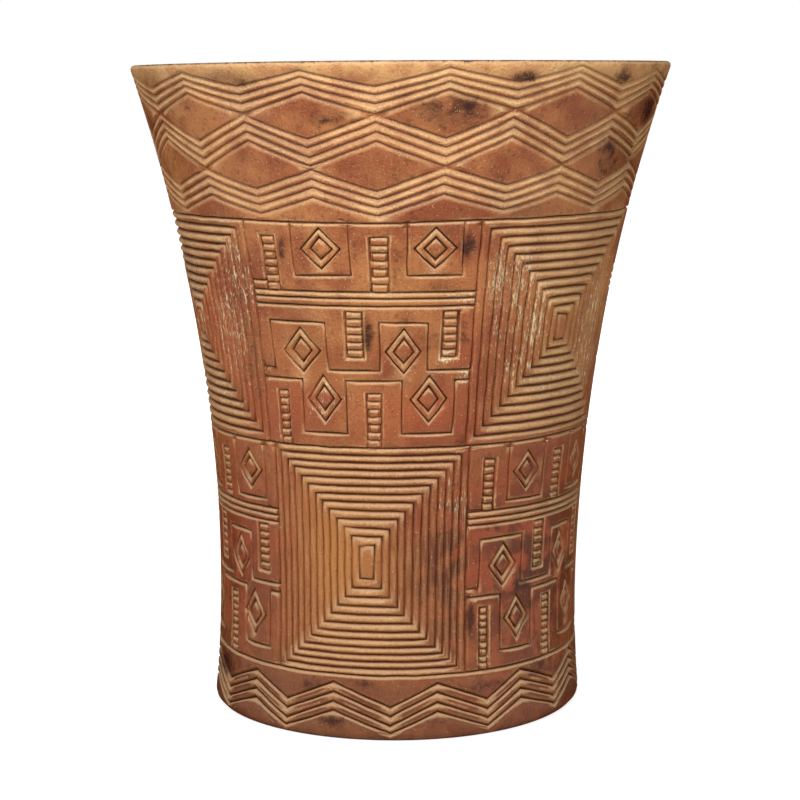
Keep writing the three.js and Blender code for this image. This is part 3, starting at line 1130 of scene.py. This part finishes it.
def chalky_and_glinting_wood(nodes, at, surface):
    """Pale powder and painted glints on upright ridges, chalky flecks, and specks of dust."""
    # Painted glints and pale powder along upright ridges below the upper band
    level = nodes.maths("ABSOLUTE", at.upward)
    upright = nodes.times(nodes.fade(level, 0.25, 0.5, 1.0, 0.0), at.worn)
    upright = nodes.times(upright, nodes.fade(at.height, *POWDER_AND_GLINT_TOP, 1.0, 0.0))
    flecks = nodes.total(at.flake, (at.chalk, nodes.fade(at.crest, 0.1, 0.7, 0.3, 0.52)), (at.speck, 0.3))
    specks = nodes.total(at.dust, (at.worn, 0.07))
    specks = nodes.maths("ADD", specks, nodes.fade(at.height, *DUSTY, 0.0, 0.03))
    return nodes.coated(
        surface,
        (nodes.times(upright, nodes.fade(at.grit, 0.48, 0.64, 0, 0.3)), PALE),
        (nodes.fade(flecks, 0.84, 1.06, 0, 0.85), CHALK),
        (nodes.fade(specks, 0.68, 0.78, 0, 0.7), CHALK),
    )


def polish(nodes, at, shader):
    """A satin polish over fine grain, duller in the cuts and towards the outline."""
    rough = nodes.total(nodes.fade(at.cut, 0.0, 0.6, 0.28, 0.7), (at.patch, 0.2))
    nodes.feed(shader["Roughness"], rough)
    turned = nodes.add("LayerWeight", {"Blend": 0.5})["Facing"]
    nodes.feed(shader["Specular IOR Level"], nodes.fade(turned, 0.15, 0.6, 0.13, 0.0))
    relief = nodes.total(nodes.times(at.fibre, 0.6), (at.grit, 0.9))
    bump = nodes.add("Bump", {"Height": relief, "Strength": BUMP_STRENGTH, "Distance": BUMP_HEIGHT})
    nodes.feed(shader["Normal"], bump["Normal"])


def wood():
    """Old polished hardwood: red-brown where it is flush, rubbed pale along ridges, dark in the cuts, with
    painted shade, highlights, glints and a warm glow in its colour.
    """
    material, nodes, shader = new_material("carved_wood")
    at = wood_inputs(nodes)
    shade = mottled_shade(nodes, at)
    # Painted shade and darker wood from the shade marks, on flush wood and a little on ridges
    surface = nodes.mixed(shade, flush_wood(nodes, at), RED_SHADE)
    surface = rubbed_and_highlit_wood(nodes, at, surface)
    surface = nodes.mixed(nodes.times(shade, 0.15), surface, RED_SHADE)
    surface = soiled_and_shaded_wood(nodes, at, surface)
    surface = chalky_and_glinting_wood(nodes, at, surface)
    nodes.feed(shader["Base Color"], surface)
    polish(nodes, at, shader)
    return material


beaker = carved_body()
beaker.data.materials.append(wood())
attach(beaker, "root")
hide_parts("cup_body")

# Camera: where the photograph was taken from, in metres and degrees, with lens and sensor in millimetres
CAMERA_AT = Vector((0.00051, -0.5543, 0.16465))
CAMERA_DOWN = 8.669
CAMERA_ROLL = 0.191
LENS = 93.15
SENSOR = 36

# Studio, in metres
WHITE = (1, 1, 1, 1)
AMBIENT = 0.12  # strength of the light from all round
FLOOR_HALF = 4.0
FLOOR_GREY = (0.45, 0.45, 0.45, 1)
FLOOR_ROUGHNESS = 0.9
FLOOR_FADE = (0.1, 0.35)  # distances from the beaker over which the floor turns quite white
FLOOR_NEAR_GLOW = 0.8
LAMP_TARGET = Vector((0, 0, 0.09))


def add_camera():
    data = bpy.data.cameras.new("camera")
    data.lens = LENS
    data.sensor_width = SENSOR
    camera = add_object("camera", data)
    level = Matrix.Rotation(LEAN, 4, "Y") @ Matrix.Translation(CAMERA_AT)
    pitch = Matrix.Rotation(math.radians(90 - CAMERA_DOWN), 4, "X")
    camera.matrix_world = level @ pitch @ Matrix.Rotation(math.radians(CAMERA_ROLL), 4, "Z")
    bpy.context.scene.camera = camera


def add_lamp(name, place, size, watts):
    data = bpy.data.lights.new(name, "AREA")
    data.shape = "RECTANGLE"
    data.size, data.size_y = size
    data.energy = watts
    lamp = add_object(name, data)
    lamp.location = place
    lamp.rotation_euler = (LAMP_TARGET - Vector(place)).to_track_quat("-Z", "Y").to_euler()


def seen_directly(nodes):
    """1 for what the camera sees, in reflections and through glass too, and 0 for other light."""
    path = nodes.add("LightPath", {})
    seen = nodes.maths("MAXIMUM", path["Is Camera Ray"], path["Is Glossy Ray"])
    return nodes.maths("MAXIMUM", seen, path["Is Transmission Ray"])


def add_world():
    """White where it is seen, and a soft grey light on everything else."""
    world = bpy.data.worlds.new("studio")
    bpy.context.scene.world = world
    world.use_nodes = True
    nodes = Nodes(world.node_tree)
    background = world.node_tree.nodes["Background"]
    background.inputs["Color"].default_value = WHITE
    strength = nodes.fade(seen_directly(nodes), 0, 1, AMBIENT, 1)
    nodes.feed(background.inputs["Strength"], strength)


def floor_material():
    """Pale grey that is seen as white, apart from the beaker's shadow."""
    material, nodes, shader = new_material("floor")
    shader["Base Color"].default_value = FLOOR_GREY
    shader["Roughness"].default_value = FLOOR_ROUGHNESS
    shader["Emission Color"].default_value = WHITE
    where = nodes.add("TexCoord", {})["Object"]
    away = nodes.add("VectorMath", {0: where}, operation="LENGTH")["Value"]
    white = nodes.fade(away, *FLOOR_FADE, FLOOR_NEAR_GLOW, 1.0)
    nodes.feed(shader["Emission Strength"], nodes.times(seen_directly(nodes), white))
    return material


def add_floor():
    corners = ((-1, -1), (1, -1), (1, 1), (-1, 1))
    mesh = bpy.data.meshes.new("floor")
    mesh.from_pydata([(x * FLOOR_HALF, y * FLOOR_HALF, 0) for x, y in corners], [], [(0, 1, 2, 3)])
    mesh.materials.append(floor_material())
    floor = add_object("floor", mesh)


add_camera()
add_world()
add_floor()
add_lamp("key", place=(-0.06, -0.32, 0.46), size=(0.16, 0.12), watts=1.9)
add_lamp("left_fill", place=(-0.8, -0.77, 0.45), size=(0.6, 0.6), watts=5.0)
add_lamp("right_fill", place=(0.7, -0.85, 0.42), size=(0.6, 0.6), watts=5.3)
add_lamp("back_fill", place=(0, 1.0, 0.6), size=(0.8, 0.6), watts=5.0)
bpy.context.scene.view_settings.view_transform = "Standard"
